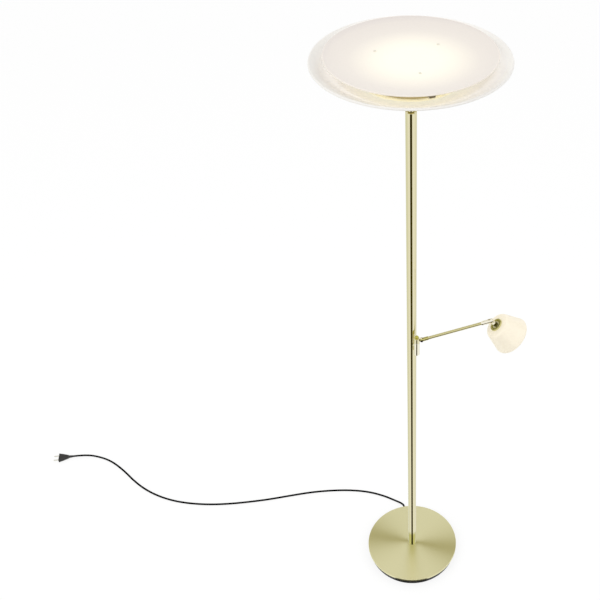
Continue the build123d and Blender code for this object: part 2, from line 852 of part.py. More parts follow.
# Hub: a socket for the neck, a flange under the glass and a threaded spigot through it
socket_radius = neck_radius + seat_clearance
with BuildPart() as head_hub:
    turn_about(
        Axis.Z,
        Plane.XZ,
        (socket_radius, hub_flange_bottom - hub_socket_depth),
        (hub_boss_radius, hub_flange_bottom - hub_socket_depth),
        (hub_boss_radius, hub_flange_bottom),
        (hub_flange_radius - hub_flange_chamfer, hub_flange_bottom),
        (hub_flange_radius, hub_flange_bottom + hub_flange_chamfer),
        (hub_flange_radius, hub_flange_top),
        (hub_spigot_radius, hub_flange_top),
        (hub_spigot_radius, led_plate_top + hub_spigot_reach),
        (hub_bore_radius, led_plate_top + hub_spigot_reach),
        (hub_bore_radius, hub_flange_bottom),
        (socket_radius, hub_flange_bottom),
    )
head_hub.part.label = "head_hub"
export_step(head_hub.part, "parts/head_hub.step")

# Soft gaskets below and above the glass
with BuildPart() as dish_gaskets:
    for gasket_bottom in (hub_flange_top, dish_floor):
        ring_on(
            Plane.XY.offset(gasket_bottom),
            gasket_radius,
            hub_spigot_radius + seat_clearance,
            gasket_thickness,
        )
dish_gaskets.part.label = "dish_gaskets"
export_step(dish_gaskets.part, "parts/dish_gaskets.step")

# Glass dish: a flat floor that bends up into a straight conical wall with a rounded rim
rim_inner_radius = dish_radius - glass_thickness * math.sin(wall_slope)
rim_inner_height = dish_underside + dish_depth + glass_thickness * math.cos(wall_slope)
with BuildPart() as glass_dish:
    with BuildSketch(Plane.XZ) as dish_outline:
        with BuildLine():
            Polyline(
                (dish_hole_radius, dish_underside),
                (dish_corner_radius, dish_underside),
                (dish_radius, dish_underside + dish_depth),
                (rim_inner_radius, rim_inner_height),
                (inner_corner_radius, dish_floor),
                (dish_hole_radius, dish_floor),
                close=True,
            )
        make_face()
        by_radius = dish_outline.vertices().sort_by(Axis.X)
        fillet(by_radius[3], dish_bend_radius)
        fillet(
            dish_outline.vertices().sort_by_distance((inner_corner_radius, dish_floor))[0],
            inner_bend_radius,
        )
        fillet(dish_outline.vertices().sort_by(Axis.X)[-2:], glass_thickness * rim_round_share)
    revolve(axis=Axis.Z)
glass_dish.part.label = "glass_dish"
export_step(glass_dish.part, "parts/glass_dish.step")

# Brass pan that carries the light source: flat in the middle, with a flared edge
plate_hole_radius = hub_spigot_radius + seat_clearance
flare_top = led_plate_top + led_plate_flare_rise
with BuildPart() as led_plate:
    turn_about(
        Axis.Z,
        Plane.XZ,
        (plate_hole_radius, led_plate_bottom),
        (led_plate_flat_radius, led_plate_bottom),
        (led_plate_radius, flare_top - led_plate_flare_thickness),
        (led_plate_radius, flare_top),
        (led_plate_flat_radius, led_plate_top),
        (plate_hole_radius, led_plate_top),
    )
led_plate.part.label = "led_plate"
export_step(led_plate.part, "parts/led_plate.step")

# White circuit board, with holes that let the standoffs through
with BuildPart(Plane.XY.offset(led_plate_top + led_board_thickness)) as led_board:
    ring_on(Plane.XY.offset(led_plate_top), led_board_radius, led_board_hole_radius, led_board_thickness)
    with PolarLocations(standoff_circle_radius, standoff_count, start_angle=standoff_first_angle):
        Hole(standoff_radius + loose_clearance, led_board_thickness)
led_board.part.label = "led_board"
export_step(led_board.part, "parts/led_board.step")

# Light-emitting chips in rings on the board
with BuildPart() as led_chips:
    with BuildSketch(Plane.XY.offset(led_plate_top + led_board_thickness)):
        for ring_share, ring_count in zip(chip_ring_shares, chip_ring_counts):
            with PolarLocations(led_board_radius * ring_share, ring_count):
                Rectangle(chip_size, chip_size)
    extrude(amount=chip_height)
led_chips.part.label = "led_chips"
export_step(led_chips.part, "parts/led_chips.step")

# Ring that holds the board's edge down
with BuildPart() as board_ring:
    ring_on(
        Plane.XY.offset(led_plate_top),
        board_ring_radius,
        led_board_radius + seat_clearance,
        board_ring_height,
    )
board_ring.part.label = "board_ring"
export_step(board_ring.part, "parts/board_ring.step")

# Connector block on the plate, just outside the ring
connector_distance = connector_reach - connector_width / 2
with BuildPart() as led_connector:
    with BuildSketch(Plane.XY.offset(led_plate_top)):
        with PolarLocations(connector_distance, 1, start_angle=connector_angle):
            Rectangle(connector_width, connector_length)
    extrude(amount=connector_height)
led_connector.part.label = "led_connector"
export_step(led_connector.part, "parts/led_connector.step")

# Nut that clamps plate, gaskets and glass on the hub
with BuildPart() as head_nut:
    nut_on(
        Plane.XY.offset(led_plate_top),
        head_nut_across_flats,
        hub_spigot_radius + seat_clearance,
        head_nut_height,
    )
head_nut.part.label = "head_nut"
export_step(head_nut.part, "parts/head_nut.step")

# Standoffs that carry the glass disc, bored for its screws
standoff_top = led_plate_top + standoff_height
with BuildPart(Plane.XY.offset(standoff_top)) as diffuser_standoffs:
    with BuildSketch(Plane.XY.offset(led_plate_top)):
        with PolarLocations(standoff_circle_radius, standoff_count, start_angle=standoff_first_angle):
            Circle(standoff_radius)
    extrude(amount=standoff_height)
    with PolarLocations(standoff_circle_radius, standoff_count, start_angle=standoff_first_angle):
        Hole(diffuser_screw_radius + seat_clearance, standoff_bore_depth)
diffuser_standoffs.part.label = "diffuser_standoffs"
export_step(diffuser_standoffs.part, "parts/diffuser_standoffs.step")

# Soft washers between the standoffs and the glass disc
with BuildPart() as diffuser_washers:
    with BuildSketch(Plane.XY.offset(standoff_top)):
        with PolarLocations(standoff_circle_radius, standoff_count, start_angle=standoff_first_angle):
            Circle(soft_washer_radius)
            Circle(diffuser_screw_radius + seat_clearance, mode=Mode.SUBTRACT)
    extrude(amount=soft_washer_thickness)
diffuser_washers.part.label = "diffuser_washers"
export_step(diffuser_washers.part, "parts/diffuser_washers.step")

# Satin glass disc over the dish: flat in the middle, with a slightly raised edge
diffuser_edge_bottom = diffuser_bottom + diffuser_rise
diffuser_edge_top = diffuser_top + diffuser_rise
with BuildPart(Plane.XY.offset(diffuser_top)) as diffuser_disc:
    with BuildSketch(Plane.XZ) as disc_outline:
        with BuildLine():
            Line((0, diffuser_bottom), (diffuser_flat_radius, diffuser_bottom))
            TangentArc(
                (diffuser_flat_radius, diffuser_bottom), (diffuser_radius, diffuser_edge_bottom), tangent=(1, 0)
            )
            Line((diffuser_radius, diffuser_edge_bottom), (diffuser_radius, diffuser_edge_top))
            TangentArc(
                (diffuser_flat_radius, diffuser_top), (diffuser_radius, diffuser_edge_top), tangent=(1, 0)
            )
            Line((diffuser_flat_radius, diffuser_top), (0, diffuser_top))
            Line((0, diffuser_top), (0, diffuser_bottom))
        make_face()
        fillet(disc_outline.vertices().sort_by(Axis.X)[-2:], diffuser_edge)
    revolve(axis=Axis.Z)
    with PolarLocations(standoff_circle_radius, standoff_count, start_angle=standoff_first_angle):
        Hole(diffuser_hole_radius, diffuser_thickness)
diffuser_disc.part.label = "diffuser_disc"
export_step(diffuser_disc.part, "parts/diffuser_disc.step")

# Small round-headed screws that hold the disc
with BuildPart() as diffuser_screws:
    with BuildSketch(Plane.XY.offset(standoff_top - diffuser_screw_reach)):
        with PolarLocations(standoff_circle_radius, standoff_count, start_angle=standoff_first_angle):
            Circle(diffuser_screw_radius)
    extrude(amount=diffuser_top - standoff_top + diffuser_screw_reach)
    with BuildSketch(Plane.XY.offset(diffuser_top)):
        with PolarLocations(standoff_circle_radius, standoff_count, start_angle=standoff_first_angle):
            Circle(diffuser_screw_head_radius)
    extrude(amount=diffuser_screw_head_height)
    fillet(
        diffuser_screws.edges().filter_by(GeomType.CIRCLE).group_by(Axis.Z)[-1],
        diffuser_screw_head_round,
    )
diffuser_screws.part.label = "diffuser_screws"
export_step(diffuser_screws.part, "parts/diffuser_screws.step")

# Side boss between the stem and the barrel, hollowed to sit on both
with BuildPart() as arm_boss:
    rod_on(boss_end_on, boss_radius, barrel_offset)
    with BuildSketch(Plane.XY.offset(boss_height - 2 * boss_radius)):
        Circle(stem_radius + seat_clearance)
        with Locations(barrel_axis):
            Circle(barrel_radius + seat_clearance)
    extrude(amount=4 * boss_radius, mode=Mode.SUBTRACT)
    bore_on(boss_end_on, boss_screw_radius + seat_clearance, barrel_offset)
arm_boss.part.label = "arm_boss"
export_step(arm_boss.part, "parts/arm_boss.step")

# Nut inside the stem and the stud that ties stem, boss and barrel
boss_nut_corner = boss_nut_across_flats / math.sqrt(3)
boss_nut_face = math.sqrt(stem_inner_radius**2 - boss_nut_corner**2) - seat_clearance
boss_nut_start = boss_nut_face - boss_nut_height
boss_stud_end = barrel_offset - shaft_radius - boss_screw_gap
with BuildPart() as boss_nut:
    nut_on(
        boss_end_on.offset(boss_nut_start),
        boss_nut_across_flats,
        boss_screw_radius + seat_clearance,
        boss_nut_height,
    )
boss_nut.part.label = "boss_nut"
export_step(boss_nut.part, "parts/boss_nut.step")

with BuildPart() as boss_stud:
    rod_on(boss_end_on.offset(boss_nut_start), boss_screw_radius, boss_stud_end - boss_nut_start)
boss_stud.part.label = "boss_stud"
export_step(boss_stud.part, "parts/boss_stud.step")

# Upright barrel that carries the swivel, recessed below for its retainer
barrel_underside = Plane(origin=barrel_axis + up * barrel_bottom, x_dir=(1, 0, 0), z_dir=(0, 0, 1))
barrel_height = barrel_top - barrel_bottom
with BuildPart() as swivel_barrel:
    ring_on(barrel_underside, barrel_radius, shaft_radius + running_clearance, barrel_height)
    bore_on(barrel_underside, barrel_recess_radius, barrel_recess_depth)
    bore_on(boss_end_on, boss_screw_radius + seat_clearance, barrel_offset)
    chamfer(
        swivel_barrel.edges().filter_by(GeomType.CIRCLE).group_by(Axis.Z)[0].sort_by(SortBy.RADIUS)[-1],
        stem_edge,
    )
swivel_barrel.part.label = "swivel_barrel"
export_step(swivel_barrel.part, "parts/swivel_barrel.step")

# Thin washer on top of the barrel
with BuildPart() as swivel_washer:
    ring_on(
        barrel_underside.offset(barrel_height),
        barrel_radius - loose_clearance,
        shaft_radius + running_clearance,
        swivel_washer_thickness,
    )
swivel_washer.part.label = "swivel_washer"
export_step(swivel_washer.part, "parts/swivel_washer.step")

# Hollow shaft of the swivel, with a shoulder and a thread at its top
retainer_bottom = barrel_bottom + barrel_recess_depth - loose_clearance - retainer_height
shaft_bottom = retainer_bottom - loose_clearance
shaft_shoulder = swivel_head_top - shaft_shoulder_depth
shaft_top = swivel_head_top + shaft_thread_length
barrel_centre_line = Axis(barrel_axis, up)
with BuildPart() as swivel_shaft:
    turn_about(
        barrel_centre_line,
        swivel_side_on,
        (shaft_bore_radius, shaft_bottom),
        (shaft_radius, shaft_bottom),
        (shaft_radius, shaft_shoulder),
        (shaft_thread_radius, shaft_shoulder),
        (shaft_thread_radius, shaft_top),
        (shaft_bore_radius, shaft_top),
    )
swivel_shaft.part.label = "swivel_shaft"
export_step(swivel_shaft.part, "parts/swivel_shaft.step")

# Retainer that keeps the shaft from lifting out
with BuildPart() as swivel_retainer:
    ring_on(
        Plane(origin=barrel_axis + up * retainer_bottom, x_dir=(1, 0, 0), z_dir=(0, 0, 1)),
        retainer_radius,
        shaft_radius + seat_clearance,
        retainer_height,
    )
swivel_retainer.part.label = "swivel_retainer"
export_step(swivel_retainer.part, "parts/swivel_retainer.step")

# Turning head of the swivel, with a flat tongue that carries the tilt pivot
tilt_pivot_height = swivel_head_top - knuckle_drop
with BuildPart() as swivel_head:
    rod_on(
        Plane(origin=barrel_axis + up * swivel_head_bottom, x_dir=(1, 0, 0), z_dir=(0, 0, 1)),
        barrel_radius,
        swivel_head_height,
    )
    chamfer(swivel_head.edges().group_by(Axis.Z)[-1], stem_edge)
    with BuildSketch(swivel_side_on):
        with Locations((0, tilt_pivot_height)):
            SlotCenterPoint((knuckle_offset / 2, 0), (knuckle_offset, 0), 2 * knuckle_radius)
    extrude(amount=tongue_thickness / 2, both=True)
    with BuildSketch(swivel_side_on):
        with Locations((knuckle_offset, tilt_pivot_height)):
            Circle(tilt_screw_radius + running_clearance)
    extrude(amount=tongue_thickness, both=True, mode=Mode.SUBTRACT)
    turn_about(
        barrel_centre_line,
        swivel_side_on,
        (0, swivel_head_bottom - cut_overrun),
        (shaft_radius + seat_clearance, swivel_head_bottom - cut_overrun),
        (shaft_radius + seat_clearance, shaft_shoulder + seat_clearance),
        (shaft_thread_radius + seat_clearance, shaft_shoulder + seat_clearance),
        (shaft_thread_radius + seat_clearance, swivel_head_top + cut_overrun),
        (0, swivel_head_top + cut_overrun),
        mode=Mode.SUBTRACT,
    )
swivel_head.part.label = "swivel_head"
export_step(swivel_head.part, "parts/swivel_head.step")

# Domed cap nut on the shaft's thread
cap_bore_depth = shaft_thread_length + loose_clearance
with BuildPart() as swivel_cap:
    with BuildSketch(swivel_side_on) as cap_outline:
        with BuildLine():
            Polyline(
                (swivel_cap_radius, swivel_head_top + swivel_cap_skirt),
                (swivel_cap_radius, swivel_head_top),
                (shaft_thread_radius + seat_clearance, swivel_head_top),
                (shaft_thread_radius + seat_clearance, swivel_head_top + cap_bore_depth),
                (0, swivel_head_top + cap_bore_depth),
                (0, swivel_head_top + swivel_cap_skirt + swivel_cap_radius),
            )
            CenterArc((0, swivel_head_top + swivel_cap_skirt), swivel_cap_radius, 0, 90)
        make_face()
    revolve(axis=barrel_centre_line)
swivel_cap.part.label = "swivel_cap"
export_step(swivel_cap.part, "parts/swivel_cap.step")

# Fork at the arm's root: a round bar with a rounded end, slotted for the tongue
fork_slot_width = tongue_thickness + 2 * loose_clearance
with BuildPart() as arm_fork:
    rod_on(arm_end_on.offset(-knuckle_radius), fork_radius, knuckle_radius + fork_length)
    with BuildSketch(arm_side_on):
        with Locations((fork_length / 2, 0)):
            Rectangle(fork_length, 2 * knuckle_radius)
        Circle(knuckle_radius)
    extrude(amount=fork_radius + cut_overrun, both=True, mode=Mode.INTERSECT)
    with BuildSketch(arm_end_on.offset(-fork_radius)):
        Rectangle(fork_slot_width, 4 * fork_radius)
    extrude(amount=fork_radius + fork_slot_reach, mode=Mode.SUBTRACT)
    bore_on(arm_end_on.offset(fork_seat), rod_radius + seat_clearance, fork_length)
    bore_on(arm_end_on, cable_radius + loose_clearance, fork_length)
    with BuildSketch(arm_side_on):
        Circle(tilt_screw_radius + seat_clearance)
    extrude(amount=2 * fork_radius, both=True, mode=Mode.SUBTRACT)
arm_fork.part.label = "arm_fork"
export_step(arm_fork.part, "parts/arm_fork.step")

# Screw of the tilt joint, whose socket head faces the front, and its nut
tilt_front_on = Plane(origin=tilt_pivot, x_dir=arm_direction, z_dir=-side)
with BuildPart() as tilt_screw:
    rod_on(
        tilt_front_on.offset(-fork_radius - tilt_screw_head_height / 2),
        tilt_screw_radius,
        2 * fork_radius + tilt_screw_head_height / 2,
    )
    rod_on(tilt_front_on.offset(fork_radius), tilt_screw_head_radius, tilt_screw_head_height)
    with BuildSketch(tilt_front_on.offset(fork_radius + tilt_screw_head_height)):
        RegularPolygon(tilt_socket_radius, side_count=6)
    extrude(amount=-tilt_socket_depth, mode=Mode.SUBTRACT)
tilt_screw.part.label = "tilt_screw"
export_step(tilt_screw.part, "parts/tilt_screw.step")

with BuildPart() as tilt_nut:
    rod_on(
        tilt_front_on.offset(-fork_radius - tilt_screw_head_height),
        tilt_screw_head_radius,
        tilt_screw_head_height,
    )
    bore_on(
        tilt_front_on.offset(-fork_radius - tilt_screw_head_height / 2 - seat_clearance),
        tilt_screw_radius + seat_clearance,
        tilt_screw_head_height,
    )
tilt_nut.part.label = "tilt_nut"
export_step(tilt_nut.part, "parts/tilt_nut.step")

# Arm tube, seated in the fork and in the collar
collar_seat_end = collar_start + collar_seat_depth
with BuildPart() as arm_rod:
    ring_on(arm_end_on.offset(fork_seat), rod_radius, rod_bore_radius, collar_seat_end - fork_seat)
arm_rod.part.label = "arm_rod"
export_step(arm_rod.part, "parts/arm_rod.step")

# Cable inside the arm tube
with BuildPart() as arm_cable:
    rod_on(arm_end_on.offset(fork_seat), cable_radius, collar_seat_end - fork_seat)
arm_cable.part.label = "arm_cable"
export_step(arm_cable.part, "parts/arm_cable.step")

# Polished collar at the arm's end, slotted for the reading light's tongue
collar_slot_start = arm_reach - head_eye_radius - collar_slot_relief
with BuildPart() as arm_collar:
    turn_about(
        arm_axis,
        arm_side_on,
        (collar_start, rod_radius + seat_clearance),
        (collar_start, collar_radius - collar_taper),
        (collar_start + collar_taper_length, collar_radius),
        (arm_reach + collar_radius, collar_radius),
        (arm_reach + collar_radius, 0),
        (collar_seat_end, 0),
        (collar_seat_end, rod_radius + seat_clearance),
    )
    with BuildSketch(arm_side_on):
        with Locations((arm_reach / 2, 0)):
            Rectangle(arm_reach, 2 * collar_radius)
        with Locations((arm_reach, 0)):
            Circle(collar_radius)
    extrude(amount=collar_radius + cut_overrun, both=True, mode=Mode.INTERSECT)
    with BuildSketch(arm_end_on.offset(collar_slot_start)):
        Rectangle(fork_slot_width, 4 * collar_radius)
    extrude(amount=4 * collar_radius, mode=Mode.SUBTRACT)
    with BuildSketch(arm_side_on):
        with Locations((arm_reach, 0)):
            Circle(head_pin_radius + seat_clearance)
    extrude(amount=2 * collar_radius, both=True, mode=Mode.SUBTRACT)
    bore_on(arm_end_on.offset(collar_start), cable_radius, collar_slot_start - collar_start)
arm_collar.part.label = "arm_collar"
export_step(arm_collar.part, "parts/arm_collar.step")

# Pin of the reading light's joint
head_pin_half = collar_radius - head_pin_inset
with BuildPart() as head_pin:
    rod_on(head_side_on.offset(-head_pin_half), head_pin_radius, 2 * head_pin_half)
head_pin.part.label = "head_pin"
export_step(head_pin.part, "parts/head_pin.step")

# Neck of the reading light: a tongue with an eye, a cone and a round shank
neck_cone_end = neck_cone_start + neck_cone_length
nipple_start = head_neck_end - nipple_seat_depth
with BuildPart() as head_neck:
    with BuildSketch(head_side_on):
        Circle(head_eye_radius)
        with Locations((neck_cone_end / 2, 0)):
            Rectangle(neck_cone_end, 2 * head_eye_radius)
    extrude(amount=tongue_thickness / 2, both=True)
    turn_about(
        head_axis,
        head_side_on,
        (neck_cone_start, 0),
        (neck_cone_start, neck_cone_radius),
        (neck_cone_end, head_neck_radius),
        (head_neck_end, head_neck_radius),
        (head_neck_end, 0),
    )
    with BuildSketch(head_side_on):
        Circle(head_pin_radius + running_clearance)
    extrude(amount=tongue_thickness, both=True, mode=Mode.SUBTRACT)
    bore_on(head_end_on.offset(nipple_start), nipple_radius + seat_clearance, nipple_seat_depth)
head_neck.part.label = "head_neck"
export_step(head_neck.part, "parts/head_neck.step")

# Brass cap behind the shade: a rim, a groove and a boss, with a spigot that centres the shade
cap_groove = cap_back + cap_groove_depth
cap_rim_back = cap_back - cap_rim_rise
cap_rim_inner = cap_radius - cap_rim_width
with BuildPart() as head_cap:
    turn_about(
        head_axis,
        head_side_on,
        (cap_back, nipple_radius + seat_clearance),
        (cap_back, cap_boss_radius),
        (cap_groove, cap_boss_radius + cap_edge),
        (cap_groove, cap_rim_inner),
        (cap_rim_back, cap_rim_inner + cap_edge),
        (cap_rim_back, cap_radius - cap_edge),
        (cap_rim_back + cap_edge, cap_radius),
        (cap_front, cap_radius),
        (cap_front, cap_spigot_radius),
        (shade_inside, cap_spigot_radius),
        (shade_inside, nipple_radius + seat_clearance),
    )
head_cap.part.label = "head_cap"
export_step(head_cap.part, "parts/head_cap.step")

# Opal glass shade: a hollow cone with a rounded shoulder and a rounded front edge
cone_slope = math.atan2(shade_front_radius - shade_back_radius, shade_length)
shade_lip = shade_front - shade_wall
inner_back_radius = shade_back_radius + shade_wall * (math.tan(cone_slope) - 1 / math.cos(cone_slope))
inner_front_radius = shade_front_radius - shade_wall * (math.tan(cone_slope) + 1 / math.cos(cone_slope))
with BuildPart() as head_shade:
    with BuildSketch(head_side_on) as shade_outline:
        with BuildLine():
            Polyline(
                (shade_back, cap_spigot_radius + loose_clearance),
                (shade_back, shade_back_radius),
                (shade_front, shade_front_radius),
                (shade_front, shade_mouth_radius),
                (shade_lip, shade_mouth_radius),
                (shade_lip, inner_front_radius),
                (shade_inside, inner_back_radius),
                (shade_inside, cap_spigot_radius + loose_clearance),
                close=True,
            )
        make_face()
        corners = {
            (shade_back, shade_back_radius): shade_shoulder,
            (shade_front, shade_front_radius): shade_corner,
            (shade_lip, inner_front_radius): shade_corner - shade_wall,
            (shade_inside, inner_back_radius): shade_shoulder - shade_wall,
            (shade_front, shade_mouth_radius): shade_mouth_edge,
            (shade_lip, shade_mouth_radius): shade_mouth_edge,
        }
        for corner, corner_radius in corners.items():
            fillet(
                shade_outline.sketch_local.vertices().sort_by_distance(corner)[0],
                corner_radius,
            )
    revolve(axis=head_axis)
head_shade.part.label = "head_shade"
export_step(head_shade.part, "parts/head_shade.step")

# Hollow nipple that clamps neck, cap, shade and heat sink together
with BuildPart() as head_nipple:
    ring_on(
        head_end_on.offset(nipple_start),
        nipple_radius,
        nipple_bore_radius,
        shade_inside + nipple_reach - nipple_start,
    )
head_nipple.part.label = "head_nipple"
export_step(head_nipple.part, "parts/head_nipple.step")

# Grooved heat sink inside the shade
groove_pitch = (sink_length - nipple_reach / 2) / sink_groove_count
with BuildPart() as head_heat_sink:
    rod_on(head_end_on.offset(shade_inside), sink_radius, sink_length)
    bore_on(head_end_on.offset(shade_inside), nipple_radius + seat_clearance, nipple_reach + seat_clearance)
    for groove in range(sink_groove_count):
        groove_start = shade_inside + groove_pitch * (groove + sink_groove_share)
        turn_about(
            head_axis,
            head_side_on,
            (groove_start, sink_radius - sink_groove_depth),
            (groove_start, sink_radius + cut_overrun),
            (groove_start + sink_groove_width, sink_radius + cut_overrun),
            (groove_start + sink_groove_width, sink_radius - sink_groove_depth),
            mode=Mode.SUBTRACT,
        )
head_heat_sink.part.label = "head_heat_sink"
export_step(head_heat_sink.part, "parts/head_heat_sink.step")

# Board and domed light source of the reading light
with BuildPart() as head_led_board:
    rod_on(head_end_on.offset(sink_front), lamp_board_radius, lamp_board_thickness)
head_led_board.part.label = "head_led_board"
export_step(head_led_board.part, "parts/head_led_board.step")

with BuildPart() as head_led:
    rod_on(head_end_on.offset(sink_front + lamp_board_thickness), lamp_chip_radius, lamp_chip_height)
    fillet(
        head_led.edges().filter_by(GeomType.CIRCLE).sort_by(head_axis)[-1],
        lamp_chip_height / 2,
    )
head_led.part.label = "head_led"
export_step(head_led.part, "parts/head_led.step")

# Frosted lens in the shade's mouth
with BuildPart() as head_lens:
    rod_on(
        head_end_on.offset(shade_front - lens_recess - lens_thickness),
        shade_mouth_radius - loose_clearance,
        lens_thickness,
    )
head_lens.part.label = "head_lens"
export_step(head_lens.part, "parts/head_lens.step")
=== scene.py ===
import math

import bpy
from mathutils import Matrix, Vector


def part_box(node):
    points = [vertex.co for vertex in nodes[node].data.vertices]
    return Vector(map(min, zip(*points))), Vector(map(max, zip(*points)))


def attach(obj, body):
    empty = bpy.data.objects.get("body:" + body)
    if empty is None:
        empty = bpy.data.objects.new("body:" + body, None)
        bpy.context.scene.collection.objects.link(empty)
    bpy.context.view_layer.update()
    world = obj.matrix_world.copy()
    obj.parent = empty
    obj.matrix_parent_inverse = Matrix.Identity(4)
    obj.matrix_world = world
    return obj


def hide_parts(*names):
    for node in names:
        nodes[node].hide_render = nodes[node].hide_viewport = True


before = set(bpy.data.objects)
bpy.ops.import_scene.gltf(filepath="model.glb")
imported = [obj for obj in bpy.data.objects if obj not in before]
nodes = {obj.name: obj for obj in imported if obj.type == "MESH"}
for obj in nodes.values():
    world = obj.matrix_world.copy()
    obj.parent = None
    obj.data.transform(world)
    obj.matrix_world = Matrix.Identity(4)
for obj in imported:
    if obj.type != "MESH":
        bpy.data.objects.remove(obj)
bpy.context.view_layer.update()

# Camera, at the photograph's place: pixel values are those of the 600 by 600 photograph
IMAGE = 600
FOCAL_PX = 866.8
CENTRE_PX = (414.1, 363.6)
SENSOR_MM = 36
CAMERA_PLACE = (0.0063, -1.6566, 2.5178)
CAMERA_TILT = math.radians(45.27)
VIEW_DEPTH = 60
camera_data = bpy.data.cameras.new("camera")
camera_data.sensor_width = SENSOR_MM
camera_data.lens = FOCAL_PX / IMAGE * SENSOR_MM
camera_data.shift_x = (IMAGE / 2 - CENTRE_PX[0]) / IMAGE
camera_data.shift_y = (CENTRE_PX[1] - IMAGE / 2) / IMAGE
camera_data.clip_end = VIEW_DEPTH
camera = bpy.data.objects.new("camera", camera_data)
camera.location = CAMERA_PLACE
camera.rotation_euler = (CAMERA_TILT, 0, 0)
bpy.context.scene.collection.objects.link(camera)
bpy.context.scene.camera = camera


# Material helpers
def linear(code):
    """The linear colour of a six-digit screen colour."""
    channels = [int(code[i:i + 2], 16) / 255 for i in (0, 2, 4)]
    return [c / 12.92 if c <= 0.04045 else ((c + 0.055) / 1.055) ** 2.4 for c in channels]


def fill_ramp(ramp, stops):
    """Sets a colour ramp's stops: each is a place from 0 to 1 and a linear colour or a grey value."""
    while len(ramp.elements) < len(stops):
        ramp.elements.new(0.5)
    for element, (place, colour) in zip(ramp.elements, stops):
        element.position = place
        element.color = (*colour, 1) if isinstance(colour, (list, tuple)) else (colour,) * 3 + (1,)


class Surface:
    """A node material with one Principled shader and short ways to add procedural detail."""

    def __init__(self, name, colour, metallic=0.0, roughness=0.5, **sockets):
        self.material = bpy.data.materials.new(name)
        self.material.use_nodes = True
        self.tree = self.material.node_tree
        self.tree.nodes.clear()
        self.output = self.add("ShaderNodeOutputMaterial")
        self.shader = self.add("ShaderNodeBsdfPrincipled")
        self.link(self.shader.outputs["BSDF"], self.output.inputs["Surface"])
        self.colour = colour
        self.roughness = roughness
        self.shader.inputs["Base Color"].default_value = (*colour, 1)
        self.shader.inputs["Metallic"].default_value = metallic
        self.shader.inputs["Roughness"].default_value = roughness
        for socket, value in sockets.items():
            self.shader.inputs[socket.replace("_", " ")].default_value = value
        self.place = self.add("ShaderNodeTexCoord").outputs["Object"]

    def add(self, kind, **values):
        """Adds a node and sets its properties."""
        node = self.tree.nodes.new(kind)
        for key, value in values.items():
            setattr(node, key, value)
        return node

    def link(self, start, end):
        """Joins an output to an input."""
        self.tree.links.new(start, end)

    def math(self, operation, *terms):
        """One calculation on values or sockets."""
        node = self.add("ShaderNodeMath", operation=operation)
        for socket, term in zip(node.inputs, terms):
            if isinstance(term, (int, float)):
                socket.default_value = term
            else:
                self.link(term, socket)
        return node.outputs[0]

    def vector_math(self, operation, vector, other=None, output="Vector"):
        """One vector calculation on a socket and, where it takes one, a fixed vector."""
        node = self.add("ShaderNodeVectorMath", operation=operation)
        self.link(vector, node.inputs[0])
        if other is not None:
            node.inputs[1].default_value = other
        return node.outputs[output]

    def ramp(self, factor, stops):
        """A colour ramp over a factor from 0 to 1."""
        node = self.add("ShaderNodeValToRGB")
        fill_ramp(node.color_ramp, stops)
        self.link(factor, node.inputs[0])
        return node.outputs[0]

    def noise(self, scale, stretch=(1, 1, 1), detail=3.0):
        """Noise in the object's own space."""
        mapping = self.add("ShaderNodeMapping")
        mapping.inputs["Scale"].default_value = stretch
        self.link(self.place, mapping.inputs["Vector"])
        node = self.add("ShaderNodeTexNoise")
        node.inputs["Scale"].default_value = scale
        node.inputs["Detail"].default_value = detail
        self.link(mapping.outputs[0], node.inputs["Vector"])
        return node.outputs[0]

    def radius(self, centre=(0, 0, 0), stretch=(1, 1, 0)):
        """Distance from an upright line through a centre, with each direction stretched."""
        shifted = self.vector_math("SUBTRACT", self.place, centre)
        flat = self.vector_math("MULTIPLY", shifted, stretch)
        return self.vector_math("LENGTH", flat, output="Value")

    def axis_distance(self, centre, direction):
        """Distance from the line through a centre along a unit direction."""
        shifted = self.vector_math("SUBTRACT", self.place, centre)
        crossed = self.vector_math("CROSS_PRODUCT", shifted, direction)
        return self.vector_math("LENGTH", crossed, output="Value")

    def paint(self, colour):
        """Takes the base colour from a socket."""
        self.link(colour, self.shader.inputs["Base Color"])

    def vary_colour(self, factor, amount):
        """Lets a noise lighten and darken the colour a little."""
        low = [c * (1 - amount) for c in self.colour]
        high = [min(1, c * (1 + amount)) for c in self.colour]
        self.paint(self.ramp(factor, [(0.3, low), (0.7, high)]))

    def vary_roughness(self, factor, amount):
        """Lets a noise change the roughness a little."""
        rough = self.math("MULTIPLY_ADD", factor, amount, self.roughness - amount / 2)
        self.link(rough, self.shader.inputs["Roughness"])

    def vary(self, factor, colour_amount, roughness_amount):
        """Varies colour and roughness a little with a noise."""
        self.vary_colour(factor, colour_amount)
        self.vary_roughness(factor, roughness_amount)

    def bump(self, factor, strength, distance):
        """Raises the surface a little with a noise."""
        node = self.add("ShaderNodeBump")
        node.inputs["Strength"].default_value = strength
        node.inputs["Distance"].default_value = distance
        self.link(factor, node.inputs["Height"])
        self.link(node.outputs[0], self.shader.inputs["Normal"])

    def glow(self, colour, strength):
        """Gives off light of a colour, with a strength that is a value or a socket."""
        self.shader.inputs["Emission Color"].default_value = (*colour, 1)
        if isinstance(strength, (int, float)):
            self.shader.inputs["Emission Strength"].default_value = strength
        else:
            self.link(strength, self.shader.inputs["Emission Strength"])


LINES_SCALE = 2600
RINGS_SCALE = 1500
LINE_DETAIL = 2.0
LINE_DEPTH = 0.0001


def polished(name, colour, roughness, grain=(1, 1, 1), even=True):
    """Polished brass with faint fine lines; where it isn't even, its colour is left to a ramp of its own."""
    surface = Surface(name, colour, 1.0, roughness)
    lines = surface.noise(LINES_SCALE, grain, LINE_DETAIL)
    if even:
        surface.vary_colour(lines, 0.03)
    surface.vary_roughness(lines, 0.05)
    surface.bump(lines, 0.03, LINE_DEPTH)
    return surface


